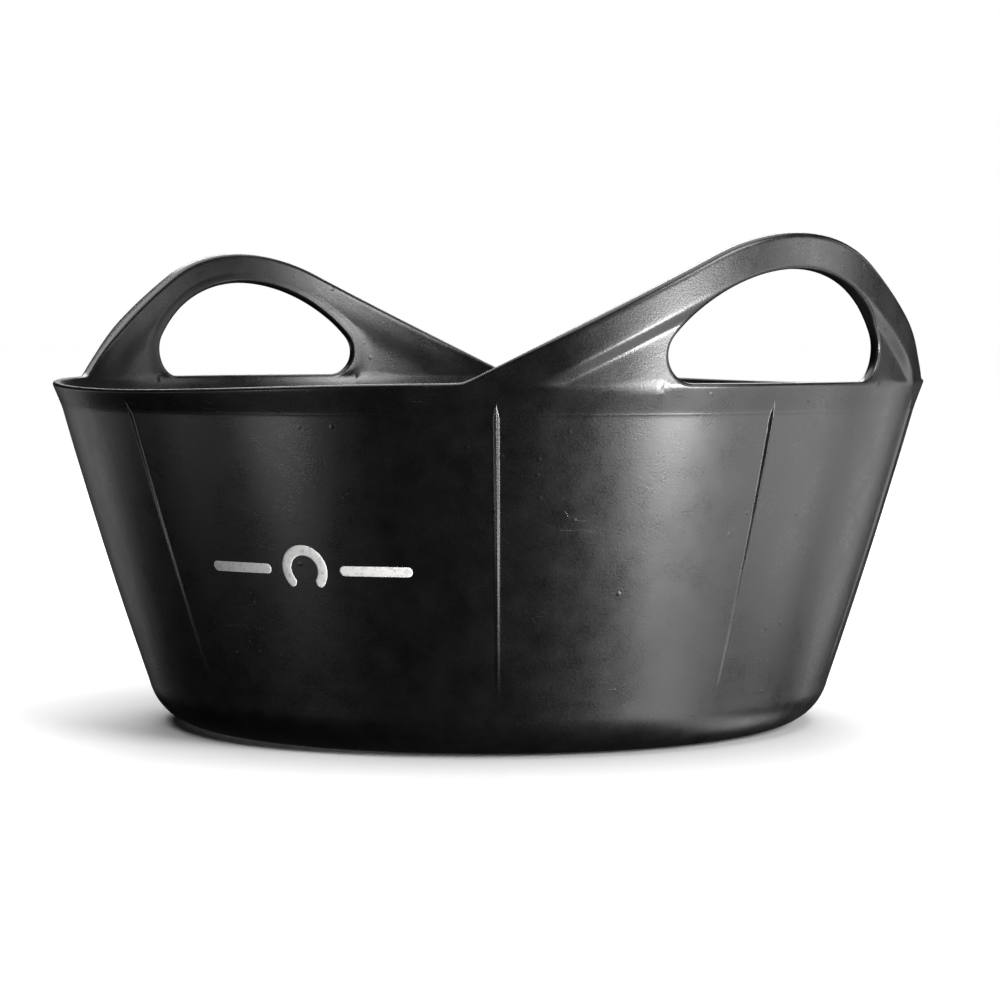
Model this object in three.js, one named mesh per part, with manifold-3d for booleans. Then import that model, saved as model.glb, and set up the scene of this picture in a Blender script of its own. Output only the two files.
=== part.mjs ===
// Flexible feed bucket: a shallow round tub moulded in one with two D-hole handles.
// Millimetres, +Z up. Origin under the middle of the base; the handles stand on +X and -X.
// A bearing is an angle about +Z from +X. An arc length is measured along GIRTH_RADIUS.
// The moulding is divided at its own creases, and front from back, into features, one solid
// each, SEAM apart.

import * as THREE from 'three';
import Module from 'manifold-3d';
import * as BufferGeometryUtils from 'three/addons/utils/BufferGeometryUtils.js';

const wasm = await Module();
wasm.setup();

// ---------- driving dimensions ----------

const SEAM = 0.3; // gap between neighbouring solids
const RING_STEPS = 72; // facets round a full ring

const WALL_THICK = 3.2;
const FLOOR_THICK = 4;
const COLLAR_THICK = 4;

const BASE_RADIUS = 139.4; // where the flat base meets the heel's round
const FOOT_WIDTH = 27; // flat ring that the tub stands on
const BASE_RECESS = 1.5; // the middle of the base is lifted off the ground
const HEEL_RADIUS = 26; // round between the base and the wall
const HEEL_TURN = 71.4; // degrees of that round, until it meets the wall's slope
const HEEL_SHELF = 8; // width over which the floor thins into the heel

const WALL_TOP = 152; // crease where the wall turns out into the collar
const WALL_TOP_RADIUS = 205.5;
const WALL_SLOPE = 0.279; // radius gained per millimetre of height, at WALL_TOP
const WALL_CROWN = 2.26; // radius lost, by the wall's bulge, 100 mm below WALL_TOP

const RIM_RADIUS = 210; // outermost edge of the tub: 420 mm across
const COLLAR_SLOPE = 0.53;
const COLLAR_TOP = 158;
const RIM_LOW = 162; // rim midway between the handles
const RIM_HIGH = 165.6; // rim at the handles' feet
const RIM_ROUND = 1.4; // rounding of the rim's edges

const GIRTH_RADIUS = 210.5; // radius at which arc lengths on the handles are measured
const HANDLE_TOP = 230.5;
// Slope of the handle's straight flanks, left and right as seen from outside the tub: the
// handles rake slightly, both the same way round.
const FLANK_SLOPE = { left: 0.5, right: 0.567 };
const CROWN_RADIUS = 97; // round over the top of the handle
const HANDLE_LEAN = 0.095; // radius gained per millimetre of height above RIM_HIGH
const RAIL_DEPTH = 16.3; // height of the raised rail that edges the handle
const RAIL_BEVEL = 5.2; // height of the slope from the rail down to the web
const RAIL_PROUD = 2; // how far the rail stands out of the web
const RAIL_INSIDE = 0.6; // how far the rail stands into the tub
const RAIL_START = 15; // arc length from the handle's foot to where the rail begins to stand out
const RAIL_FULL = 50; // arc length from the foot to where it has its full depth
const WEB_THINNEST = 2; // least height of web kept above the collar, at its two ends

const HOLE_BOTTOM = 165.3; // hand hole: flat below, one arc above
const HOLE_TOP = 214.5;
const HOLE_ARC = 79.5;
const HOLE_CORNER = 12.5;

const RIB_HALF_WIDTH = 1.4;
const RIB_HEIGHT = 1.2;
const RIB_BOTTOM = 29;
const RIB_BOTTOM_HEIGHT = 0.3;
const RIB_TOP = 157;
const RIB_POINT = 8; // length of the rib's pointed top
const RIB_TIP_SHARE = 0.3; // width and height left at the very tip
const RIB_RING_TURN = -1.9; // degrees: the rib ring sits a touch off the handles
// Bearing of each rib's top in the rib ring, and how far it drifts by its bottom, in degrees.
// The other four ribs stand opposite these.
const RIBS = [
  { bearing: 0, drift: 0.8 },
  { bearing: 36, drift: 0.5 },
  { bearing: 92, drift: 2.7 },
  { bearing: 144, drift: 0.5 },
];

const PRINT_BEARING = -64.3; // middle of the print, between two ribs
const PRINT_HEIGHT = 84; // middle of the print above the ground
const PRINT_THICK = 0.5;

// ---------- materials ----------

const blackPlastic = new THREE.MeshStandardMaterial({ color: 0x1c1c1e, roughness: 0.42, metalness: 0 });
const whiteInk = new THREE.MeshStandardMaterial({ color: 0xe9e9e6, roughness: 0.6, metalness: 0 });

// ---------- profile of the tub ----------

const radians = THREE.MathUtils.degToRad;

const wallRadius = (z) => {
  const below = z - WALL_TOP;
  return WALL_TOP_RADIUS + WALL_SLOPE * below - WALL_CROWN * (below / 100) ** 2;
};

const collarRadius = (z) => Math.min(RIM_RADIUS, WALL_TOP_RADIUS + COLLAR_SLOPE * (z - WALL_TOP));

const handleRadius = (z) => collarRadius(z) + HANDLE_LEAN * Math.max(0, z - RIM_HIGH);

// Height at which a flank, carried on up, would reach the handle's middle.
const flankApex = (slope) => HANDLE_TOP + CROWN_RADIUS * (Math.hypot(1, slope) - 1);

// Handle outline over an arc length from its middle: a round crown on two straight flanks.
const outlineHeight = (arc) => {
  const slope = arc < 0 ? FLANK_SLOPE.left : FLANK_SLOPE.right;
  const along = Math.abs(arc);
  if (along < CROWN_RADIUS * Math.sin(Math.atan(slope))) {
    return HANDLE_TOP - CROWN_RADIUS + Math.sqrt(CROWN_RADIUS ** 2 - along ** 2);
  }
  return flankApex(slope) - along * slope;
};

// Arc length from the handle's middle to where its flank comes down to a height.
const flankReach = (slope, height) => (flankApex(slope) - height) / slope;

const FOOT_LEFT = flankReach(FLANK_SLOPE.left, RIM_HIGH);
const FOOT_RIGHT = flankReach(FLANK_SLOPE.right, RIM_HIGH);

// Rim between the right foot of one handle and the left foot of the next, as bearings.
const RIM_START = FOOT_RIGHT / GIRTH_RADIUS;
const RIM_END = Math.PI - FOOT_LEFT / GIRTH_RADIUS;

// Rim height there: lowest halfway, rising smoothly to the feet.
const rimHeight = (bearing) => {
  const share = (bearing - RIM_START) / (RIM_END - RIM_START);
  return RIM_LOW + (RIM_HIGH - RIM_LOW) * (1 + Math.cos(2 * Math.PI * share)) / 2;
};

// Top edge of the hand hole over an arc length from its middle.
const HOLE_CENTRE = HOLE_TOP - HOLE_ARC;
const holeCrown = (arc) => HOLE_CENTRE + Math.sqrt(HOLE_ARC ** 2 - Math.min(Math.abs(arc), HOLE_ARC) ** 2);

// ---------- solids from rings of points ----------

// Skins a row of equal rings of points; a closed row joins its ends, an open one gets caps.
// capFaces are triples of indices into a ring that face out of the first ring.
function skin(rings, { closed = false, capFaces = [] } = {}) {
  const size = rings[0].length;
  const positions = rings.flat().flatMap((point) => [point.x, point.y, point.z]);
  const index = [];
  const spans = closed ? rings.length : rings.length - 1;
  for (let j = 0; j < spans; j += 1) {
    const here = j * size;
    const next = ((j + 1) % rings.length) * size;
    for (let i = 0; i < size; i += 1) {
      const k = (i + 1) % size;
      index.push(here + i, next + i, next + k, here + i, next + k, here + k);
    }
  }
  if (!closed) {
    const last = (rings.length - 1) * size;
    for (const [a, b, c] of capFaces) {
      index.push(a, b, c, last + a, last + c, last + b);
    }
  }
  const geometry = new THREE.BufferGeometry();
  geometry.setAttribute('position', new THREE.Float32BufferAttribute(positions, 3));
  geometry.setIndex(index);
  return geometry;
}

const triangulate = (outline) => THREE.ShapeUtils.triangulateShape(outline, []);

const onBearing = (bearing, radius, z) =>
  new THREE.Vector3(radius * Math.cos(bearing), radius * Math.sin(bearing), z);

// Carries an upright section, a list of [radius, z] in anticlockwise order, round the axis.
function sweepRound(bearings, sectionAt, closed = false) {
  const rings = bearings.map((bearing) =>
    sectionAt(bearing).map(([radius, z]) => onBearing(bearing, radius, z)));
  const outline = sectionAt(bearings[0]).map(([radius, z]) => new THREE.Vector2(radius, z));
  return skin(rings, { closed, capFaces: closed ? [] : triangulate(outline) });
}

const evenly = (from, to, steps) =>
  Array.from({ length: steps + 1 }, (_, i) => from + (to - from) * i / steps);

const fullCircle = evenly(0, 2 * Math.PI, RING_STEPS).slice(0, -1);

// Half the ring from +X by +Y to -X, less half a seam at each end, for a face at this radius.
const halfCircle = (radius) =>
  evenly(SEAM / 2 / radius, Math.PI - SEAM / 2 / radius, RING_STEPS / 2);

// Section between an outer face and one set in by thick, over rising heights.
function shellSection(heights, radiusAt, thick) {
  const outer = heights.map((z) => [radiusAt(z), z]);
  const inner = heights.map((z) => [radiusAt(z) - thick, z]).reverse();
  return [...outer, ...inner];
}

// ---------- cutting ----------

function toManifold(geometry) {
  const bare = geometry.clone();
  bare.deleteAttribute('normal');
  bare.deleteAttribute('uv');
  const merged = BufferGeometryUtils.mergeVertices(bare, 1e-4);
  return new wasm.Manifold(new wasm.Mesh({
    numProp: 3,
    vertProperties: Float32Array.from(merged.attributes.position.array),
    triVerts: Uint32Array.from(merged.index.array),
  }));
}

function fromManifold(solid) {
  const mesh = solid.getMesh();
  const geometry = new THREE.BufferGeometry();
  geometry.setAttribute('position', new THREE.BufferAttribute(Float32Array.from(mesh.vertProperties), 3));
  geometry.setIndex(Array.from(mesh.triVerts));
  return geometry;
}

const cut = (body, tool) => fromManifold(toManifold(body).subtract(toManifold(tool)));

// ---------- assembly ----------

const bucket = new THREE.Group();

function addPiece(name, geometry, material, turn = 0) {
  const mesh = new THREE.Mesh(geometry, material);
  mesh.name = name;
  mesh.rotation.z = turn;
  bucket.add(mesh);
}

// ---------- floor, heel, wall and collar ----------

const FOOT_INNER = BASE_RADIUS - FOOT_WIDTH;

function floorPanel() {
  const edge = FOOT_INNER - SEAM;
  const profile = [
    [0, BASE_RECESS],
    [edge, BASE_RECESS],
    [edge, BASE_RECESS + FLOOR_THICK],
    [0, BASE_RECESS + FLOOR_THICK],
  ];
  return new THREE.LatheGeometry(profile.map(([radius, z]) => new THREE.Vector2(radius, z)), RING_STEPS);
}

const HEEL_TOP = HEEL_RADIUS - HEEL_RADIUS * Math.cos(radians(HEEL_TURN));

// The flat ring that meets the ground.
function standingRing() {
  const edge = BASE_RADIUS - HEEL_SHELF - SEAM;
  const floorTop = BASE_RECESS + FLOOR_THICK;
  const section = [[FOOT_INNER, 0], [edge, 0], [edge, floorTop], [FOOT_INNER, floorTop]];
  return sweepRound(fullCircle, () => section, true);
}

// The round that carries the base up into the wall, behind (+Y).
function heelRound() {
  const insideRadius = HEEL_RADIUS - WALL_THICK;
  const insideTurn = Math.acos((HEEL_RADIUS - HEEL_TOP) / insideRadius);
  const round = (radius, turn) => [
    BASE_RADIUS + radius * Math.sin(turn),
    HEEL_RADIUS - radius * Math.cos(turn),
  ];
  const outside = evenly(0, radians(HEEL_TURN), 6).map((turn) => round(HEEL_RADIUS, turn));
  const inside = evenly(insideTurn, 0, 6).map((turn) => round(insideRadius, turn));
  const edge = BASE_RADIUS - HEEL_SHELF;
  const section = [[edge, 0], ...outside, ...inside, [edge, BASE_RECESS + FLOOR_THICK]];
  return sweepRound(halfCircle(BASE_RADIUS), () => section);
}

function wallHalf() {
  const heights = evenly(HEEL_TOP + SEAM, WALL_TOP - SEAM / 2, 4);
  return sweepRound(halfCircle(WALL_TOP_RADIUS), () => shellSection(heights, wallRadius, WALL_THICK));
}

function collarHalf() {
  const heights = [WALL_TOP + SEAM / 2, COLLAR_TOP - SEAM / 2];
  return sweepRound(halfCircle(RIM_RADIUS), () => shellSection(heights, collarRadius, COLLAR_THICK));
}

// ---------- rim between the handles ----------

function rimBead() {
  const bearings = evenly(RIM_START + SEAM / RIM_RADIUS, RIM_END - SEAM / RIM_RADIUS, 20);
  return sweepRound(bearings, (bearing) => {
    const top = rimHeight(bearing);
    const foot = COLLAR_TOP + SEAM / 2;
    const crest = collarRadius(top - RIM_ROUND);
    return [
      [collarRadius(foot), foot],
      [crest, top - RIM_ROUND],
      [crest - RIM_ROUND, top],
      [crest - COLLAR_THICK + RIM_ROUND, top],
      [crest - COLLAR_THICK, top - RIM_ROUND],
      [collarRadius(foot) - COLLAR_THICK, foot],
    ];
  });
}

// ---------- handles: a thin web with the hand hole, edged by a raised rail ----------

const HANDLE_FOOT = COLLAR_TOP + SEAM / 2;
const bevelFoot = (arc) => outlineHeight(arc) - RAIL_DEPTH - RAIL_BEVEL;

// Outline of the hand hole in arc length and height: flat bottom, round corners, one arc over.
function handHoleOutline() {
  const cornerHeight = HOLE_BOTTOM + HOLE_CORNER;
  const reach = HOLE_ARC - HOLE_CORNER;
  const cornerArc = Math.sqrt(reach ** 2 - (cornerHeight - HOLE_CENTRE) ** 2);
  const meeting = Math.atan2(cornerHeight - HOLE_CENTRE, cornerArc);
  const shape = new THREE.Shape();
  shape.absarc(cornerArc, cornerHeight, HOLE_CORNER, -Math.PI / 2, meeting, false);
  shape.absarc(0, HOLE_CENTRE, HOLE_ARC, meeting, Math.PI - meeting, false);
  shape.absarc(-cornerArc, cornerHeight, HOLE_CORNER, Math.PI - meeting, Math.PI * 1.5, false);
  const points = shape.getPoints(8);
  const distinct = points.filter((point, i) => i === 0 || point.distanceTo(points[i - 1]) > 0.01);
  return distinct[0].distanceTo(distinct.at(-1)) < 0.01 ? distinct.slice(0, -1) : distinct;
}

// The hole's outline carried straight out from the axis, well past both faces of the handle.
function handHoleCutter() {
  const clearance = 30;
  const outline = handHoleOutline();
  const ringAt = (radius) => outline.map((point) => onBearing(point.x / GIRTH_RADIUS, radius, point.y));
  return skin([ringAt(RIM_RADIUS + clearance), ringAt(RIM_RADIUS - clearance)], {
    capFaces: triangulate(outline),
  });
}

function handleWeb() {
  const endHeight = HANDLE_FOOT + WEB_THINNEST + RAIL_DEPTH + RAIL_BEVEL;
  const leftEnd = flankReach(FLANK_SLOPE.left, endHeight) / GIRTH_RADIUS;
  const rightEnd = flankReach(FLANK_SLOPE.right, endHeight) / GIRTH_RADIUS;
  const body = sweepRound(evenly(-leftEnd, rightEnd, 24), (bearing) => {
    const top = bevelFoot(bearing * GIRTH_RADIUS) - SEAM;
    const crease = Math.min(RIM_HIGH, (HANDLE_FOOT + top) / 2);
    return shellSection([HANDLE_FOOT, crease, top], handleRadius, COLLAR_THICK);
  });
  return cut(body, handHoleCutter());
}

// The rail slopes back to the web below; over the hole it ends at the hole's own edge.
function handleRail() {
  const bearings = evenly(-FOOT_LEFT / GIRTH_RADIUS, FOOT_RIGHT / GIRTH_RADIUS, 40);
  return sweepRound(bearings, (bearing) => {
    const arc = bearing * GIRTH_RADIUS;
    const top = outlineHeight(arc);
    const holeEdge = Math.abs(arc) < HOLE_ARC ? holeCrown(arc) : 0;
    const low = Math.max(bevelFoot(arc), HANDLE_FOOT, holeEdge);
    const shoulder = Math.max(low + RIM_ROUND, top - RAIL_DEPTH);
    const toFoot = arc < 0 ? FOOT_LEFT + arc : FOOT_RIGHT - arc;
    const fade = THREE.MathUtils.smoothstep(toFoot, RAIL_START, RAIL_FULL);
    const front = (z) => handleRadius(z) + RAIL_PROUD * fade;
    const back = (z) => handleRadius(z) - COLLAR_THICK - RAIL_INSIDE * fade;
    const bevelShare = Math.max(0, low - bevelFoot(arc)) / RAIL_BEVEL;
    const lowFront = handleRadius(low) + RAIL_PROUD * fade * Math.min(1, bevelShare);
    return [
      [lowFront, low],
      [front(shoulder), shoulder],
      [front(top), top - RIM_ROUND],
      [front(top) - RIM_ROUND, top],
      [back(top) + RIM_ROUND, top],
      [back(top), top - RIM_ROUND],
      [back(low), low],
    ];
  });
}

// ---------- ribs ----------

// A slim roof-shaped rib with a pointed top, dying away towards the heel.
function wallRib(drift) {
  const heights = [...evenly(RIB_BOTTOM, RIB_TOP - RIB_POINT, 6), RIB_TOP];
  const rings = heights.map((z) => {
    const surface = (z < WALL_TOP ? wallRadius(z) : collarRadius(z)) + SEAM;
    const grown = (z - RIB_BOTTOM) / (RIB_TOP - RIB_BOTTOM);
    const share = z === RIB_TOP ? RIB_TIP_SHARE : 1;
    const halfWidth = RIB_HALF_WIDTH * share;
    const height = share * THREE.MathUtils.lerp(RIB_BOTTOM_HEIGHT, RIB_HEIGHT, grown);
    const turn = radians(drift) * (1 - grown);
    return [[surface, -halfWidth], [surface + height, 0], [surface, halfWidth]].map(
      ([radius, across]) => onBearing(turn + across / surface, radius, z));
  });
  return skin(rings.reverse(), { capFaces: [[0, 1, 2]] });
}

// ---------- printed mark: a horseshoe between two bars, generic ----------

const SHOE_OUTER = 11;
const SHOE_INNER = 6.5;
const SHOE_OPENING = radians(38); // half the gap between the shoe's two ends
const BAR_NEAR = 17; // from the middle of the print to the near and far ends of a bar
const BAR_FAR = 50;
const BAR_HALF_HEIGHT = 2.2;

// A point of the print, in millimetres along and up from its middle, laid over the wall.
function onPrint([along, up], lift) {
  const z = PRINT_HEIGHT + up;
  const bearing = radians(PRINT_BEARING) + along / wallRadius(PRINT_HEIGHT);
  return onBearing(bearing, wallRadius(z) + SEAM + lift, z);
}

// A stroke of ink is a row of [one edge, other edge] pairs; it runs with its first edge below.
function inkStroke(pairs) {
  const rings = pairs.map(([low, high]) => [
    onPrint(low, 0),
    onPrint(low, PRINT_THICK),
    onPrint(high, PRINT_THICK),
    onPrint(high, 0),
  ]);
  return skin(rings, { capFaces: [[0, 1, 2], [0, 2, 3]] });
}

function horseshoe() {
  const turns = evenly(-Math.PI / 2 + SHOE_OPENING, Math.PI * 1.5 - SHOE_OPENING, 24);
  return inkStroke(turns.map((turn) => [
    [SHOE_OUTER * Math.cos(turn), SHOE_OUTER * Math.sin(turn)],
    [SHOE_INNER * Math.cos(turn), SHOE_INNER * Math.sin(turn)],
  ]));
}

const bar = (from, to) =>
  inkStroke(evenly(from, to, 8).map((along) => [[along, -BAR_HALF_HEIGHT], [along, BAR_HALF_HEIGHT]]));

// ---------- the bucket ----------

addPiece('floor_panel', floorPanel().rotateX(Math.PI / 2), blackPlastic);
addPiece('standing_ring', standingRing(), blackPlastic);

for (const [side, turn] of [['back', 0], ['front', Math.PI]]) {
  addPiece(`heel_round_${side}`, heelRound(), blackPlastic, turn);
  addPiece(`wall_shell_${side}`, wallHalf(), blackPlastic, turn);
  addPiece(`collar_band_${side}`, collarHalf(), blackPlastic, turn);
  addPiece(`rim_bead_${side}`, rimBead(), blackPlastic, turn);
}

for (const [side, turn] of [['right', 0], ['left', Math.PI]]) {
  addPiece(`handle_web_${side}`, handleWeb(), blackPlastic, turn);
  addPiece(`handle_rail_${side}`, handleRail(), blackPlastic, turn);
}

[0, 180].forEach((opposite, half) => {
  RIBS.forEach(({ bearing, drift }, i) => {
    const name = `wall_rib_${half * RIBS.length + i + 1}`;
    addPiece(name, wallRib(drift), blackPlastic, radians(bearing + RIB_RING_TURN + opposite));
  });
});

addPiece('print_horseshoe', horseshoe(), whiteInk);
addPiece('print_bar_left', bar(-BAR_FAR, -BAR_NEAR), whiteInk);
addPiece('print_bar_right', bar(BAR_NEAR, BAR_FAR), whiteInk);

export default bucket;
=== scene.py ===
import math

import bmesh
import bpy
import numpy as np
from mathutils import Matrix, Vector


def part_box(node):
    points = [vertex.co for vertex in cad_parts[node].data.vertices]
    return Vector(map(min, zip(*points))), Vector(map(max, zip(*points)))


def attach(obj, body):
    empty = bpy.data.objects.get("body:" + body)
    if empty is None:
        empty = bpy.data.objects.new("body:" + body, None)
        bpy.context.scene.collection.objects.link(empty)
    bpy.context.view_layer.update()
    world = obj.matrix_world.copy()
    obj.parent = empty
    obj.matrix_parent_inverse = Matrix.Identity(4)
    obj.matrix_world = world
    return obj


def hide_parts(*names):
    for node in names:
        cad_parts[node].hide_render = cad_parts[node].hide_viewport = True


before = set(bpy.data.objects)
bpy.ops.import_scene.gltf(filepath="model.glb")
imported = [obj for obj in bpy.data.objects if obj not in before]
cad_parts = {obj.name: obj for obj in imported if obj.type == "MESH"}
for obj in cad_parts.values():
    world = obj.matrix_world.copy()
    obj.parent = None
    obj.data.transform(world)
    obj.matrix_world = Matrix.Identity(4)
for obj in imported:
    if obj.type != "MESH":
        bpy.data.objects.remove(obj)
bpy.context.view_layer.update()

# A flexible feed tub, moulded in one with its handles: one seamless mesh for the moulding,
# separate thin solids for its printed mark, and a pale studio round it.
# The tub's sizes are in millimetres until a mesh is made, and the studio's are in metres.
# Bearings are angles about +Z from +X.

MM = 0.001


def top_of(node):
    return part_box(node)[1].z / MM


# ---------- sizes, from the frame where a CAD node has them ----------

HANDLE_TOP = top_of("handle_rail_right")
RIM_HIGH = 165.6  # rim at the handles' feet
RIM_LOW = 162.0  # rim midway between the handles
WALL_TOP = round(top_of("wall_shell_front"))  # crease where the wall turns out into the collar
COLLAR_TOP = round(top_of("collar_band_front"))
RIM_RADIUS = 210.0
WALL_TOP_RADIUS = 205.5
WALL_SLOPE = 0.279
WALL_CROWN = 2.26

BASE_RADIUS = 139.4
BASE_RECESS = 1.5
FLOOR_TOP = 5.5
HEEL_RADIUS = 26.0
HEEL_TURN = math.radians(71.4)
HEEL_TOP = 17.7
WALL_THICK = 3.2
HANDLE_THICK = 4.2
THICKENS = (130.0, 160.0)  # heights between which the wall thickens towards the handles

GIRTH_RADIUS = 210.5
FLANK_LEFT = 0.5  # slopes of the handle's flanks, as seen from outside the tub
FLANK_RIGHT = 0.567
CROWN_RADIUS = 97.0
HANDLE_LEAN = 0.095
RAIL_DEPTH = 16.3
RAIL_BEVEL = 5.2
RAIL_PROUD = 2.0
RAIL_INSIDE = 0.8
RAIL_START = 15.0
RAIL_FULL = 50.0

# How far corners between two stretches are rounded.
FOOT_SOFT = 1.2  # where the handle meets the rim
LEAN_SOFT = 0.8
BEVEL_FOOT_SOFT = 0.4
COLLAR_SOFT = 0.05  # these three are shares of the stretch
BEVEL_SOFT = 0.16
INSIDE_BEVEL_SOFT = 0.3

# Soft unevenness of the wall: depth, waves round the tub, twist per millimetre of height, start.
SWAY = [(0.16, 3.0, 0.012, 0.6), (0.10, 5.0, -0.021, 2.1), (0.06, 11.0, 0.037, 4.0)]
SWAY_GROWS = (10.0, 60.0)

HOLE_BOTTOM = 165.3
HOLE_TOP = 214.5
HOLE_ARC = 79.5
HOLE_CORNER = 12.5
HOLE_ROLL = 0.9  # the inside swells this much round the hole
HOLE_ROLL_FADES = (3.0, 11.0)
HOLE_ROLL_STARTS = (160.0, 168.0)
HOLE_ROLL_REACH = 95.0

RIM_ROUND = 1.4
GRIP_ROUND = 2.4
HOLE_ROUND = 1.9

RIB_HALF_WIDTH = 1.4
RIB_HEIGHT = 1.2
RIB_BOTTOM_HEIGHT = 0.15
RIB_BOTTOM = 27.0
RIB_TOP = 157.5
RIB_POINT = 7.0
RIB_RUN_OUT = 8.0
RIB_POINT_WIDTH = 0.05  # share of its width that a rib keeps at its very point
RIB_CREST_SOFT = 0.02
RIB_SKIRT = -0.6  # how many half widths past its foot the roof's rounding is followed
RIB_TRIM = 0.03
RIB_RING_TURN = -1.9
RIBS = [(0, 0.8), (36, 0.5), (92, 2.7), (144, 0.5), (180, 0.8), (216, 0.5), (272, 2.7), (324, 0.5)]

PRINT_BEARING = -64.3
PRINT_HEIGHT = 84.0
INK_THICK = 0.12


# ---------- shape of the moulding ----------

def smoothstep(low, high, x):
    t = np.clip((x - low) / (high - low), 0.0, 1.0)
    return t * t * (3.0 - 2.0 * t)


def soft_max(a, b, soft):
    """The larger of two values, with the corner between them rounded."""
    return (a + b + np.sqrt((a - b) ** 2 + soft**2)) / 2.0


def soft_ramp(x, soft):
    """Rises from 0 to 1 as x does, with its two corners rounded."""
    return (1.0 + np.sqrt(x**2 + soft**2) - np.sqrt((1.0 - x) ** 2 + soft**2)) / 2.0


def from_handle(bearing):
    """Bearing from the nearer handle's middle, -90 to 90 degrees, in radians."""
    half_turn = math.pi
    return (bearing + half_turn / 2.0) % half_turn - half_turn / 2.0


def flank_apex(slope):
    """Height at which a flank, carried on up, would reach the handle's middle."""
    return HANDLE_TOP + CROWN_RADIUS * (math.hypot(1.0, slope) - 1.0)


FOOT_LEFT = (flank_apex(FLANK_LEFT) - RIM_HIGH) / FLANK_LEFT
FOOT_RIGHT = (flank_apex(FLANK_RIGHT) - RIM_HIGH) / FLANK_RIGHT


def rim_height(turn):
    """Rim between two handles' feet: lowest halfway. Over a handle it keeps its full height."""
    start = FOOT_RIGHT / GIRTH_RADIUS
    span = math.pi - (FOOT_LEFT + FOOT_RIGHT) / GIRTH_RADIUS
    share = np.clip(((turn - start) % math.pi) / span, 0.0, 1.0)
    return RIM_LOW + (RIM_HIGH - RIM_LOW) * (1.0 + np.cos(2.0 * math.pi * share)) / 2.0


def outline_height(arc):
    """Handle outline: a round crown on two straight flanks."""
    slope = np.where(arc < 0, FLANK_LEFT, FLANK_RIGHT)
    reach = CROWN_RADIUS * np.sin(np.arctan(slope))
    along = np.abs(arc)
    crown = HANDLE_TOP - CROWN_RADIUS + np.sqrt(CROWN_RADIUS**2 - np.minimum(along, reach) ** 2)
    flank = HANDLE_TOP + CROWN_RADIUS * (np.hypot(1.0, slope) - 1.0) - along * slope
    return np.where(along < reach, crown, flank)


def edge_height(turn):
    return soft_max(rim_height(turn), outline_height(turn * GIRTH_RADIUS), FOOT_SOFT)


def rail_fade(turn):
    arc = turn * GIRTH_RADIUS
    to_foot = np.where(arc < 0, FOOT_LEFT + arc, FOOT_RIGHT - arc)
    return smoothstep(RAIL_START, RAIL_FULL, to_foot)


def sway(bearing, z):
    """The slight unevenness of a soft moulding, a few tenths of a millimetre."""
    waves = sum(depth * np.sin(count * bearing + twist * z + start) for depth, count, twist, start in SWAY)
    return waves * smoothstep(*SWAY_GROWS, z)


def body_radius(bearing, z):
    """Outer radius of the tub and its handles without ribs or rails."""
    turn = from_handle(bearing)
    below = np.minimum(z, WALL_TOP) - WALL_TOP
    wall = WALL_TOP_RADIUS + WALL_SLOPE * below - WALL_CROWN * (below / 100.0) ** 2
    lip = rim_height(turn) - RIM_ROUND
    flare = (RIM_RADIUS - WALL_TOP_RADIUS) * soft_ramp((z - WALL_TOP) / (lip - WALL_TOP), COLLAR_SOFT)
    lean = HANDLE_LEAN * soft_max(z - RIM_HIGH, 0.0, LEAN_SOFT)
    return wall + flare + lean + sway(bearing, z)


def rib_height(bearing, z):
    """How far the nearest rib stands out: a rounded roof with a pointed top."""
    grown = np.clip((z - RIB_BOTTOM) / (RIB_TOP - RIB_BOTTOM), 0.0, 1.0)
    tall = RIB_BOTTOM_HEIGHT + (RIB_HEIGHT - RIB_BOTTOM_HEIGHT) * grown
    point = np.clip((RIB_TOP - z) / RIB_POINT, 0.0, 1.0)
    start = smoothstep(RIB_BOTTOM, RIB_BOTTOM + RIB_RUN_OUT, z)
    half = RIB_HALF_WIDTH * np.maximum(point, RIB_POINT_WIDTH)
    total = np.zeros(np.broadcast(bearing, z).shape)
    for at, drift in RIBS:
        middle = math.radians(at + RIB_RING_TURN) + math.radians(drift) * (1.0 - grown)
        off = (bearing - middle + math.pi) % (2 * math.pi) - math.pi
        share = 1.0 - np.abs(off) * WALL_TOP_RADIUS / half
        roof = (share + np.sqrt(share**2 + RIB_CREST_SOFT)) / 2.0
        roof = np.where(share > RIB_SKIRT, roof - RIB_TRIM, 0.0)
        total += np.maximum(roof, 0.0) * tall * point * start
    return total


def outer_radius(bearing, z):
    turn = from_handle(bearing)
    depth = edge_height(turn) - z
    rise = soft_ramp((RAIL_DEPTH + RAIL_BEVEL - depth) / RAIL_BEVEL, BEVEL_SOFT)
    rail = RAIL_PROUD * rail_fade(turn) * rise
    return body_radius(bearing, z) + rail + rib_height(bearing, z)


def hole_distance(turn, z):
    """Distance in the handle's sheet from a point outside the hand hole to its edge."""
    arc = np.abs(turn) * GIRTH_RADIUS
    corner_arc, corner_z = hole_corner()
    inside_arc = np.hypot(arc, z - HOLE_CENTRE) - HOLE_ARC
    from_corner = np.hypot(np.maximum(arc - corner_arc, 0.0), z - corner_z) - HOLE_CORNER
    above = z > corner_z + (arc - corner_arc) * (corner_z - HOLE_CENTRE) / corner_arc
    return np.where(above & (z > corner_z), inside_arc, np.maximum(from_corner, HOLE_BOTTOM - z))


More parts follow.
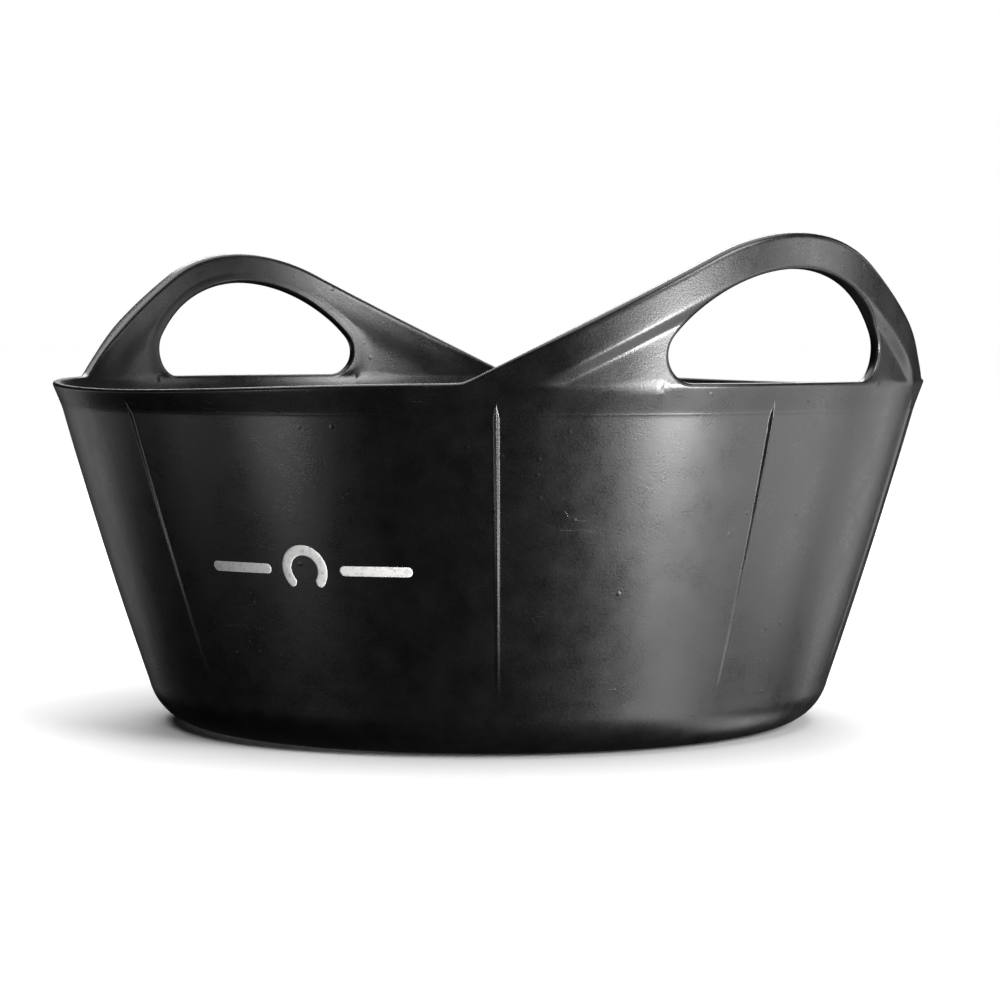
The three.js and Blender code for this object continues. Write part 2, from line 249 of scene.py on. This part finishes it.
def inner_radius(bearing, z):
    turn = from_handle(bearing)
    thick = WALL_THICK + (HANDLE_THICK - WALL_THICK) * smoothstep(*THICKENS, z)
    depth = edge_height(turn) - z
    rise = soft_ramp((RAIL_DEPTH + RAIL_BEVEL - depth) / (2 * RAIL_BEVEL), INSIDE_BEVEL_SOFT)
    rail = RAIL_INSIDE * rail_fade(turn) * rise
    near = np.abs(turn) * GIRTH_RADIUS < HOLE_ROLL_REACH
    roll = HOLE_ROLL * (1.0 - smoothstep(*HOLE_ROLL_FADES, hole_distance(turn, z)))
    roll = roll * smoothstep(*HOLE_ROLL_STARTS, z)
    return body_radius(bearing, z) - thick - np.maximum(rail, np.where(near, roll, 0.0))


# ---------- the hand hole ----------

HOLE_CENTRE = HOLE_TOP - HOLE_ARC


def hole_corner():
    """Centre of the hole's right-hand corner round: arc length and height."""
    z = HOLE_BOTTOM + HOLE_CORNER
    return math.sqrt((HOLE_ARC - HOLE_CORNER) ** 2 - (z - HOLE_CENTRE) ** 2), z


def hole_edge(arc, grow, upper):
    """Height of the hole's upper or lower edge, and the unit direction into the hole there."""
    corner_arc, corner_z = hole_corner()
    round_radius = HOLE_CORNER + grow
    side = np.sign(arc)
    along = np.minimum(np.abs(arc), corner_arc + round_radius)
    past = np.clip(along - corner_arc, 0.0, round_radius)
    rise = np.sqrt(round_radius**2 - past**2)
    if upper:
        meeting = (HOLE_ARC + grow) * corner_arc / (HOLE_ARC - HOLE_CORNER)
        crown = HOLE_CENTRE + np.sqrt((HOLE_ARC + grow) ** 2 - along**2)
        on_crown = along < meeting
        z = np.where(on_crown, crown, corner_z + rise)
        in_arc = np.where(on_crown, -along / (HOLE_ARC + grow), -past / round_radius)
        in_z = np.where(on_crown, (HOLE_CENTRE - z) / (HOLE_ARC + grow), -rise / round_radius)
    else:
        flat = along < corner_arc
        z = np.where(flat, HOLE_BOTTOM - grow, corner_z - rise)
        in_arc = np.where(flat, 0.0, -past / round_radius)
        in_z = np.where(flat, 1.0, rise / round_radius)
    return z, in_arc * side, in_z


# ---------- columns of the mesh ----------

HOLE_STEPS = 57
EVEN_COLUMNS = 360
CLOSEST = 0.05  # millimetres between two fixed columns
CLEARANCE = 0.8  # and between a fixed column and an even one
RIB_COLUMNS = [0.0, 0.25, 0.5, 0.8, 1.1, 1.4, 1.75, 2.3, 3.2]  # to both sides of a rib's middle
DRIFT_FADES = (math.radians(3.0), math.radians(14.0))


def hole_tip():
    return hole_corner()[0] + HOLE_CORNER + HOLE_ROUND


def column_bearings():
    """Bearings of the upright mesh lines: even, with fine ones at the ribs and the holes."""
    fixed = []
    tip = hole_tip() / GIRTH_RADIUS
    for handle in (0.0, math.pi):
        steps = np.linspace(-math.pi / 2, math.pi / 2, HOLE_STEPS)
        fixed += list(handle + tip * np.sin(steps))
        fixed += [handle - FOOT_LEFT / GIRTH_RADIUS, handle + FOOT_RIGHT / GIRTH_RADIUS]
    for at, _ in RIBS:
        middle = math.radians(at + RIB_RING_TURN)
        fixed += [middle + side * aside / WALL_TOP_RADIUS for aside in RIB_COLUMNS for side in (-1, 1)]
    fixed = np.unique(np.round(np.mod(fixed, 2 * math.pi), 12))
    keep = [fixed[0]]
    for bearing in fixed[1:]:
        if bearing - keep[-1] > CLOSEST / GIRTH_RADIUS:
            keep.append(bearing)
    fixed = np.array(keep)
    even = np.linspace(0, 2 * math.pi, EVEN_COLUMNS + 1)[:-1]
    gap = np.abs((even[:, None] - fixed[None, :] + math.pi) % (2 * math.pi) - math.pi).min(axis=1)
    return np.sort(np.concatenate([fixed, even[gap > CLEARANCE / GIRTH_RADIUS]]))


def drifted(bearings, z):
    """Column bearings at a height: near a rib they follow its drift down the wall."""
    grown = np.clip((z - RIB_BOTTOM) / (RIB_TOP - RIB_BOTTOM), 0.0, 1.0)
    moved = bearings.copy()
    for at, drift in RIBS:
        off = (bearings - math.radians(at + RIB_RING_TURN) + math.pi) % (2 * math.pi) - math.pi
        reach = 1.0 - smoothstep(*DRIFT_FADES, np.abs(off))
        moved += reach * math.radians(drift) * (1.0 - grown)
    return moved


COLUMNS = column_bearings()


# ---------- rows of the mesh ----------

# Shares of the way up each band of a handle.
LOWER_WEB = np.array([0.0, 0.12, 0.3, 0.5, 0.62, 0.7, 0.78, 0.86, 0.93, 1.0])
UPPER_WEB = np.array([0.0, 0.12, 0.3, 0.55, 0.75, 0.9, 1.0])
BEVEL = np.array([0.0, 0.12, 0.25, 0.5, 0.75, 0.88, 1.0])
RAIL = np.array([0.0, 0.04, 0.09, 0.16, 0.3, 0.45, 0.6, 0.75, 0.9, 1.0])
EDGE_CLEAR = 1.1  # the sheet stops short of its edge by this many edge rounds
LOWEST_BAND = 0.3  # a band keeps at least this share of the height left to it
BEVEL_CLEAR = 0.5
NEAR_TIP = 1e-3


def edge_round(turn):
    return RIM_ROUND + (GRIP_ROUND - RIM_ROUND) * rail_fade(turn)


def spread(low, high, shares):
    return low[None, :] + (high - low)[None, :] * shares[:, None]


def handle_rows():
    """Heights of the rows above the collar, below and above the slit that opens as the hole."""
    turn = from_handle(COLUMNS)
    arc = turn * GIRTH_RADIUS
    edge = edge_height(turn)
    top = edge - edge_round(turn) * EDGE_CLEAR
    base = np.full_like(turn, float(COLLAR_TOP))
    tip = hole_tip()
    over = np.abs(arc) <= tip + NEAR_TIP
    crown, _, _ = hole_edge(arc, HOLE_ROUND, True)
    sill, _, _ = hole_edge(arc, HOLE_ROUND, False)
    bevel_foot = soft_max(edge - RAIL_DEPTH - RAIL_BEVEL, base + LOWEST_BAND * (top - base), BEVEL_FOOT_SOFT)
    bevel_foot = np.where(over, np.maximum(bevel_foot, crown + BEVEL_CLEAR), bevel_foot)
    shoulder = np.maximum(edge - RAIL_DEPTH, bevel_foot + LOWEST_BAND * (top - bevel_foot))
    tip_turn = np.array([tip / GIRTH_RADIUS])
    tip_foot = edge_height(tip_turn)[0] - RAIL_DEPTH - RAIL_BEVEL
    share = (hole_corner()[1] - COLLAR_TOP) / (tip_foot - COLLAR_TOP)
    split = base + share * (bevel_foot - base)
    lower = spread(base, np.where(over, sill, split), LOWER_WEB)
    upper = np.concatenate([
        spread(np.where(over, crown, split), bevel_foot, UPPER_WEB)[:-1],
        spread(bevel_foot, shoulder, BEVEL)[:-1],
        spread(shoulder, top, RAIL),
    ])
    return lower, upper


# Heights up the wall: even along the ribs, close together at the crease.
WALL_ROWS = np.concatenate([
    np.linspace(HEEL_TOP, RIB_BOTTOM, 4)[:-1],
    np.linspace(RIB_BOTTOM, 145.0, 38)[:-1],
    np.array([145.0, 147.0, 148.6, 149.8, 150.6, 151.2, 151.7, 152.0, 152.3, 152.8, 153.5]),
    np.array([154.4, 155.4, 156.3, 157.0, 157.5]),
])


# ---------- building the sheets ----------

WELD = 2e-6  # metres
SPECK = 1e-7


class SheetMesh:
    """Collects quads from grids of points and welds them into one mesh."""

    def __init__(self):
        self.points = []
        self.faces = []
        self.count = 0

    def grid(self, points, flip=False):
        """Adds a closed ring of columns: points[row, column, xyz]."""
        rows, columns, _ = points.shape
        index = self.count + np.arange(rows * columns).reshape(rows, columns)
        self.points.append(points.reshape(-1, 3))
        self.count += rows * columns
        here = index[:-1, :]
        there = np.roll(index, -1, axis=1)[:-1, :]
        above = index[1:, :]
        across = np.roll(index, -1, axis=1)[1:, :]
        quads = np.stack([here, there, across, above], axis=-1).reshape(-1, 4)
        self.faces.append(quads[:, ::-1] if flip else quads)

    def strip(self, points):
        """Adds an open grid of points[row, column, xyz]."""
        rows, columns, _ = points.shape
        index = self.count + np.arange(rows * columns).reshape(rows, columns)
        self.points.append(points.reshape(-1, 3))
        self.count += rows * columns
        quads = np.stack([index[:-1, :-1], index[:-1, 1:], index[1:, 1:], index[1:, :-1]], axis=-1)
        self.faces.append(quads.reshape(-1, 4))

    def build(self, name, material):
        points = np.concatenate(self.points) * MM
        mesh = bpy.data.meshes.new(name)
        mesh.from_pydata(points.tolist(), [], np.concatenate(self.faces).tolist())
        work = bmesh.new()
        work.from_mesh(mesh)
        bmesh.ops.remove_doubles(work, verts=work.verts, dist=WELD)
        bmesh.ops.dissolve_degenerate(work, edges=work.edges, dist=SPECK)
        bmesh.ops.recalc_face_normals(work, faces=work.faces)
        work.to_mesh(mesh)
        work.free()
        mesh.shade_smooth()
        mesh.materials.append(material)
        piece = bpy.data.objects.new(name, mesh)
        bpy.context.scene.collection.objects.link(piece)
        return piece


def place(bearing, radius, z):
    bearing, radius, z = np.broadcast_arrays(bearing, radius, z)
    return np.stack([radius * np.cos(bearing), radius * np.sin(bearing), z], axis=-1)


def rows_at(radius_at, heights, drift=False):
    """Points of a sheet: heights is [row] or [row, column]."""
    heights = heights if heights.ndim == 2 else heights[:, None]
    heights = np.broadcast_to(heights, (len(heights), len(COLUMNS)))
    bearings = np.stack([drifted(COLUMNS, row[0]) if drift else COLUMNS for row in heights])
    return place(bearings, radius_at(bearings, heights), heights)


def heel_points(radius, turns):
    """Rings of the heel's round, outside or inside."""
    columns = drifted(COLUMNS, 0.0)
    return np.stack([
        place(columns, BASE_RADIUS + radius * math.sin(t), HEEL_RADIUS - radius * math.cos(t))
        for t in turns
    ])


def flat_rings(profile):
    columns = drifted(COLUMNS, 0.0)
    return np.stack([place(columns, radius, z) for radius, z in profile])


def rounded_edge(sheet_points, in_turn, in_z, round_radius, outer, inner, steps=6):
    """Points that carry an edge over from the outer face to the inner one, round at both arrises."""
    turn, z = sheet_points
    rows = []
    for radius_at, sign, angles in (
        (outer, -1.0, np.linspace(0, math.pi / 2, steps)),
        (inner, 1.0, np.linspace(math.pi / 2, 0, steps)),
    ):
        for angle in angles:
            reach = round_radius * math.sin(angle)
            bearing = turn + in_turn * reach / GIRTH_RADIUS
            height = z + in_z * reach
            inset = round_radius * (1.0 - math.cos(angle))
            rows.append(place(bearing, radius_at(bearing, height) + sign * inset, height))
    return np.stack(rows)


# Base from the middle out, seen from below: radius and height. A shallow pip is left by the moulding gate.
GATE_DEPTH = 0.7
BASE_PROFILE = [
    (0.0, BASE_RECESS - GATE_DEPTH),
    (2.2, BASE_RECESS - GATE_DEPTH),
    (3.0, BASE_RECESS - 0.3),
    (3.6, BASE_RECESS),
    (9.0, BASE_RECESS),
    (30.0, BASE_RECESS),
    (60.0, BASE_RECESS),
    (90.0, BASE_RECESS),
    (107.0, BASE_RECESS),
    (109.6, BASE_RECESS),
    (110.4, 1.3),
    (111.4, 0.4),
    (112.2, 0.05),
    (113.4, 0.0),
    (126.0, 0.0),
    (136.0, 0.0),
    (BASE_RADIUS, 0.0),
]

# Floor from the middle out, seen from above: slightly domed, with a step down to the heel.
FLOOR_PROFILE = [
    (0.0, 6.2),
    (20.0, 6.19),
    (50.0, 6.05),
    (80.0, 5.8),
    (100.0, 5.62),
    (116.0, 5.52),
    (117.6, FLOOR_TOP),
    (118.2, 5.3),
    (118.8, 5.12),
    (119.6, 5.08),
    (128.0, 5.0),
    (132.0, 4.7),
    (136.0, 3.9),
    (BASE_RADIUS, WALL_THICK),
]
HEEL_STEPS = 15
INNER_HEEL_STEPS = 13
EDGE_SAMPLES = 4001


def edge_slope(turn):
    """Rise of the upper edge per millimetre round the tub."""
    turns = np.linspace(-math.pi / 2, math.pi / 2, EDGE_SAMPLES)
    rise = np.gradient(edge_height(turns), (turns[1] - turns[0]) * GIRTH_RADIUS)
    return np.interp(turn, turns, rise)


def build_moulding(material):
    mesh = SheetMesh()
    turn = from_handle(COLUMNS)
    arc = turn * GIRTH_RADIUS
    lower, upper = handle_rows()

    # Outside: base, heel, wall and collar, then the handles' web and rail.
    mesh.grid(flat_rings(BASE_PROFILE))
    mesh.grid(heel_points(HEEL_RADIUS, np.linspace(0, HEEL_TURN, HEEL_STEPS)))
    heel_top = heel_points(HEEL_RADIUS, [HEEL_TURN])
    outside = rows_at(outer_radius, WALL_ROWS[1:], drift=True)
    mesh.grid(np.concatenate([heel_top, outside, rows_at(outer_radius, lower[:1])]))
    mesh.grid(rows_at(outer_radius, lower))
    mesh.grid(rows_at(outer_radius, upper))

    # Inside: the same rows, from the floor up.
    inner_heel = HEEL_RADIUS - WALL_THICK
    inner_turn = math.acos((HEEL_RADIUS - HEEL_TOP) / inner_heel)
    mesh.grid(flat_rings(FLOOR_PROFILE), flip=True)
    mesh.grid(heel_points(inner_heel, np.linspace(0, inner_turn, INNER_HEEL_STEPS)), flip=True)
    heel_inner = heel_points(inner_heel, [inner_turn])
    inside = rows_at(inner_radius, WALL_ROWS[1:], drift=True)
    mesh.grid(np.concatenate([heel_inner, inside, rows_at(inner_radius, lower[:1])]), flip=True)
    mesh.grid(rows_at(inner_radius, lower), flip=True)
    mesh.grid(rows_at(inner_radius, upper), flip=True)

    # The rim and the handles' outer edge.
    slope = edge_slope(turn)
    length = np.hypot(1.0, slope)
    edge = rounded_edge(
        (COLUMNS, upper[-1]), -slope / length, 1.0 / length, edge_round(turn), outer_radius, inner_radius)
    mesh.grid(edge)

    # The hand holes' edges: along the sill, then back under the crown.
    over_hole = np.abs(arc) <= hole_tip() + NEAR_TIP
    for towards in (1.0, -1.0):
        over = np.where(over_hole & (np.cos(COLUMNS) * towards > 0.0))[0]
        over = over[np.argsort(turn[over])]
        for row, is_upper, order in ((lower[-1], False, 1), (upper[0], True, -1)):
            along = over[::order]
            _, in_arc, in_z = hole_edge(arc[along], HOLE_ROUND, is_upper)
            mesh.strip(rounded_edge(
                (COLUMNS[along], row[along]), in_arc, in_z, np.full(len(along), HOLE_ROUND),
                outer_radius, inner_radius))
    return mesh.build("tub_moulding", material)


# ---------- printed mark: a horseshoe between two bars, generic ----------

INK_LIFT = 0.02
INK_SUNK = 0.1
INK_FLATNESS = 6  # the higher, the flatter the film and the steeper its edges
END_WIDTH = 0.02  # share of its width squared that a stroke keeps at its very end
SHOE_STEPS = 73
BAR_STEPS = 67
SHOE_OUTER = 11.0
SHOE_INNER = 6.5
SHOE_OPENING = math.radians(38.0)
BAR_NEAR = 17.0
BAR_FAR = 50.0
BAR_HALF_HEIGHT = 2.2


def on_print(along, up, lift):
    z = PRINT_HEIGHT + up
    bearing = math.radians(PRINT_BEARING) + along / body_radius(math.radians(PRINT_BEARING), PRINT_HEIGHT)
    return place(bearing, body_radius(bearing, z) + lift, z)


def ink_stroke(name, middle, half_width, material, across=7):
    """A stroke of ink along a middle line of (along, up) points, with soft edges and round ends."""
    middle = np.array(middle)
    ahead = np.gradient(middle, axis=0)
    ahead /= np.linalg.norm(ahead, axis=1)[:, None]
    side = np.stack([-ahead[:, 1], ahead[:, 0]], axis=1)
    reach = np.concatenate([[0.0], np.cumsum(np.linalg.norm(np.diff(middle, axis=0), axis=1))])
    to_end = np.minimum(reach, reach[-1] - reach)
    width = half_width * np.sqrt(np.clip(1.0 - (1.0 - to_end / half_width).clip(0.0) ** 2, END_WIDTH, 1.0))
    shares = np.sin(np.linspace(-math.pi / 2, math.pi / 2, across))
    top = middle[:, None, :] + side[:, None, :] * (width[:, None] * shares[None, :])[:, :, None]
    crown = INK_THICK * np.clip(1.0 - shares**INK_FLATNESS, 0.0, 1.0)
    film = on_print(top[..., 0], top[..., 1], INK_LIFT + crown[None, :] * np.ones(len(middle))[:, None])
    under = on_print(top[..., 0], top[..., 1], -INK_SUNK)
    mesh = SheetMesh()
    ring = np.concatenate([film, under[:, ::-1]], axis=1)
    mesh.strip(np.concatenate([ring, ring[:, :1]], axis=1))
    mesh.strip(np.stack([film[0], under[0]]))
    mesh.strip(np.stack([under[-1], film[-1]]))
    return mesh.build(name, material)


def build_print(material):
    turns = np.linspace(-math.pi / 2 + SHOE_OPENING, math.pi * 1.5 - SHOE_OPENING, SHOE_STEPS)
    shoe_middle = (SHOE_OUTER + SHOE_INNER) / 2.0
    shoe = [(shoe_middle * math.cos(t), shoe_middle * math.sin(t)) for t in turns]
    strokes = {"horseshoe": (shoe, (SHOE_OUTER - SHOE_INNER) / 2.0)}
    for side, start, end in (("left", -BAR_FAR, -BAR_NEAR), ("right", BAR_NEAR, BAR_FAR)):
        bar = [(along, 0.0) for along in np.linspace(start, end, BAR_STEPS)]
        strokes[f"bar_{side}"] = (bar, BAR_HALF_HEIGHT)
    for name, (middle, half_width) in strokes.items():
        piece = ink_stroke(f"ink_{name}", middle, half_width, material)
        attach(piece, "root")
        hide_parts(f"print_{name}")


# ---------- materials ----------

class Nodes:
    """Builds a node tree: each call adds one node and sets or links its inputs."""

    def __init__(self, material):
        material.use_nodes = True
        self.tree = material.node_tree
        self.shader = self.tree.nodes["Principled BSDF"]

    def add(self, kind, inputs=None, **settings):
        node = self.tree.nodes.new(kind)
        for name, value in settings.items():
            setattr(node, name, value)
        for name, value in (inputs or {}).items():
            self.feed(node.inputs[name], value)
        return node

    def feed(self, socket, value):
        if isinstance(value, bpy.types.NodeSocket):
            self.tree.links.new(value, socket)
        else:
            socket.default_value = value

    def set(self, **values):
        for name, value in values.items():
            self.feed(self.shader.inputs[name.replace("_", " ")], value)

    def noise(self, where, scale, detail=2.0, roughness=0.5, distortion=0.0):
        inputs = {"Vector": where, "Scale": scale, "Detail": detail, "Roughness": roughness}
        inputs["Distortion"] = distortion
        return self.add("ShaderNodeTexNoise", inputs).outputs["Fac"]

    def remap(self, value, low, high, to_low=0.0, to_high=1.0):
        inputs = {"Value": value, "From Min": low, "From Max": high, "To Min": to_low, "To Max": to_high}
        return self.add("ShaderNodeMapRange", inputs).outputs["Result"]

    def math(self, operation, a, b):
        return self.add("ShaderNodeMath", {0: a, 1: b}, operation=operation).outputs[0]

    def stretched(self, where, scale):
        return self.add("ShaderNodeMapping", {"Vector": where, "Scale": scale}).outputs["Vector"]

    def mix(self, share, a, b):
        node = self.add("ShaderNodeMix", data_type="RGBA")
        for index, value in ((0, share), (6, a), (7, b)):
            self.feed(node.inputs[index], value)
        return node.outputs[2]

    def bump(self, height, distance, strength=1.0, normal=None):
        inputs = {"Height": height, "Distance": distance, "Strength": strength}
        if normal is not None:
            inputs["Normal"] = normal
        return self.add("ShaderNodeBump", inputs).outputs["Normal"]


def grey(value, warmth=0.0):
    return (value * (1.0 + warmth), value, value * (1.0 - warmth), 1.0)


def tub_plastic():
    """Near-black soft polyethylene: a fine moulded grain, flow marks, small flecks and scratches."""
    material = bpy.data.materials.new("black_polyethylene")
    n = Nodes(material)
    where = n.add("ShaderNodeTexCoord").outputs["Object"]

    blotches = n.noise(where, 70.0, 4.0, 0.6)
    grain = n.noise(where, 1100.0, 3.0, 0.6)
    flow = n.noise(n.stretched(where, (60.0, 60.0, 900.0)), 1.0, 3.0, 0.6)
    waves = n.noise(n.stretched(where, (14.0, 14.0, 5.0)), 1.0, 1.0)

    specks = n.add("ShaderNodeTexVoronoi", {"Vector": where, "Scale": 130.0})
    patch = n.remap(n.noise(where, 22.0, 1.0), 0.56, 0.62)
    fleck = n.math("MULTIPLY", n.remap(specks.outputs["Distance"], 0.16, 0.05), patch)

    scratch_field = n.noise(n.stretched(where, (1.0, 1.0, 2.5)), 26.0, 3.0, 0.45, 1.4)
    thin_line = n.remap(n.math("ABSOLUTE", n.math("SUBTRACT", scratch_field, 0.5), 0.0), 0.0035, 0.0)
    scratch = n.math("MULTIPLY", thin_line, n.remap(n.noise(where, 31.0, 1.0), 0.6, 0.72, 0.0, 0.5))

    base = n.mix(n.remap(blotches, 0.3, 0.7), grey(0.0022, -0.02), grey(0.0038, 0.01))
    n.set(Base_Color=n.mix(scratch, base, grey(0.02)))
    uneven = n.remap(blotches, 0.3, 0.7, 0.27, 0.34)
    roughness = n.math("ADD", uneven, n.remap(grain, 0.3, 0.7, -0.035, 0.035))
    n.set(Roughness=n.math("ADD", roughness, n.math("MULTIPLY", scratch, 0.1)))
    n.set(IOR=1.51)

    coarse = n.bump(waves, 0.0016, 0.5)
    streaks = n.bump(flow, 0.00002, 0.6, coarse)
    fine = n.bump(grain, 0.00007, 0.6, streaks)
    n.set(Normal=n.bump(n.math("SUBTRACT", fleck, scratch), 0.00012, 0.7, fine))
    return material


def print_ink():
    """Matt white printing ink, a little thin in places, with a fine screen texture."""
    material = bpy.data.materials.new("white_ink")
    n = Nodes(material)
    where = n.add("ShaderNodeTexCoord").outputs["Object"]
    thin = n.remap(n.noise(where, 420.0, 5.0, 0.7), 0.34, 0.5)
    screen = n.noise(where, 2600.0, 2.0)
    n.set(Base_Color=n.mix(thin, grey(0.5), grey(0.78, 0.01)))
    n.set(Roughness=n.remap(thin, 0.0, 1.0, 0.42, 0.56))
    n.set(Normal=n.bump(screen, 0.00004, 0.5))
    return material


def floor_paper():
    """Pale matt studio paper."""
    material = bpy.data.materials.new("studio_paper")
    n = Nodes(material)
    where = n.add("ShaderNodeTexCoord").outputs["Object"]
    n.set(Base_Color=n.mix(n.noise(where, 3.0), grey(0.86), grey(0.88)))
    n.set(Roughness=0.9)
    n.set(Normal=n.bump(n.noise(where, 700.0, 3.0), 0.0002, 0.2))
    return material


# ---------- studio ----------

CAMERA_AZIMUTH = math.radians(51.25)
CAMERA_DISTANCE = 1.523
CAMERA_HEIGHT = 0.1837
CAMERA_DROP = math.radians(2.926)  # how far it looks down
CAMERA_ASIDE = 0.0056  # the aim passes this far right of the tub's middle
LENS = 112.57
SENSOR = 36.0
LIGHTS_AIM = 0.11  # height the softboxes aim at
FLOOR_RADIUS = 80.0
FLOOR_DROP = 0.0002  # keeps the floor clear of the base


def around(turn, distance, height):
    """A point this far round to the right from the camera's side, as the camera sees it."""
    bearing = CAMERA_AZIMUTH - math.pi / 2 + math.radians(turn)
    return Vector((distance * math.cos(bearing), distance * math.sin(bearing), height))


def build_camera():
    data = bpy.data.cameras.new("camera")
    data.sensor_width = SENSOR
    data.lens = LENS
    camera = bpy.data.objects.new("camera", data)
    bpy.context.scene.collection.objects.link(camera)
    camera.location = around(0.0, CAMERA_DISTANCE, CAMERA_HEIGHT)
    aim = around(90.0, CAMERA_ASIDE, CAMERA_HEIGHT - CAMERA_DISTANCE * math.tan(CAMERA_DROP))
    camera.rotation_euler = (aim - camera.location).to_track_quat("-Z", "Y").to_euler()
    bpy.context.scene.camera = camera


def softbox(name, turn, elevation, distance, width, height, energy):
    """A rectangular light aimed at the tub, placed round it from the camera's side."""
    data = bpy.data.lights.new(name, "AREA")
    data.shape = "RECTANGLE"
    data.size = width
    data.size_y = height
    data.energy = energy
    light = bpy.data.objects.new(name, data)
    bpy.context.scene.collection.objects.link(light)
    rise = math.radians(elevation)
    light.location = around(turn, distance * math.cos(rise), LIGHTS_AIM + distance * math.sin(rise))
    light.rotation_euler = (Vector((0, 0, LIGHTS_AIM)) - light.location).to_track_quat("-Z", "Y").to_euler()


def overhead_light(energy, spread):
    """An even light from straight above, with soft shadows."""
    data = bpy.data.lights.new("overhead", "SUN")
    data.energy = energy
    data.angle = math.radians(spread)
    light = bpy.data.objects.new("overhead", data)
    bpy.context.scene.collection.objects.link(light)


def build_world(backdrop, fill):
    """A white backdrop for the camera, and a dim even fill for everything else."""
    world = bpy.data.worlds.new("studio")
    world.use_nodes = True
    bpy.context.scene.world = world
    tree = world.node_tree
    seen = tree.nodes.new("ShaderNodeLightPath").outputs["Is Camera Ray"]
    strength = tree.nodes.new("ShaderNodeMapRange")
    strength.inputs["To Min"].default_value = fill
    strength.inputs["To Max"].default_value = backdrop
    tree.links.new(seen, strength.inputs["Value"])
    tree.links.new(strength.outputs["Result"], tree.nodes["Background"].inputs["Strength"])
    tree.nodes["Background"].inputs["Color"].default_value = grey(1.0)


def build_floor():
    """A wide pale floor. Black gloss would mirror it all over, so reflections leave it out."""
    bpy.ops.mesh.primitive_circle_add(
        vertices=128, radius=FLOOR_RADIUS, fill_type="NGON", location=(0, 0, -FLOOR_DROP))
    floor = bpy.context.object
    floor.name = "studio_floor"
    floor.data.materials.append(floor_paper())
    floor.visible_glossy = False
    floor.visible_diffuse = False
    floor.visible_shadow = False


# name: how far round to the right of the camera, elevation, distance, width, height, watts
SOFTBOXES = {
    "highlight": (48.0, -17.0, 3.0, 0.42, 0.5, 125.0),
    "right_low": (64.0, -36.0, 3.0, 1.4, 0.8, 7.0),
    "right_side": (88.0, -20.0, 3.0, 2.0, 0.9, 19.0),
    "right_limb": (125.0, -13.0, 3.0, 1.5, 0.8, 5.5),
    "heel": (98.0, -45.0, 3.0, 3.6, 0.7, 16.0),
    "handle": (84.0, -2.0, 3.0, 1.1, 0.5, 12.0),
    "inside_right": (45.0, 24.0, 3.0, 1.3, 1.3, 85.0),
    "inside_left": (112.0, 14.0, 3.0, 1.4, 0.9, 7.0),
    "left_low": (-57.0, -20.0, 3.0, 0.65, 0.6, 8.5),
    "left_edge": (-86.0, -14.0, 3.0, 0.9, 0.8, 2.5),
    "left_back": (-124.0, -8.0, 3.0, 1.5, 0.7, 1.9),
    "left_limb": (-143.0, -8.0, 3.0, 0.8, 0.8, 0.8),
    "behind_high": (178.0, 34.0, 3.0, 2.0, 1.4, 50.0),
}


def build_studio():
    bpy.context.scene.view_settings.view_transform = "Standard"
    build_world(backdrop=1.0, fill=0.006)
    build_floor()
    overhead_light(energy=3.8, spread=70.0)
    for name, (turn, elevation, distance, width, height, watts) in SOFTBOXES.items():
        softbox(name, turn, elevation, distance, width, height, watts)


# ---------- the feed bucket ----------

build_camera()
tub = build_moulding(tub_plastic())
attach(tub, "root")
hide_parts(*[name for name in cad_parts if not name.startswith("print_")])
build_print(print_ink())
build_studio()
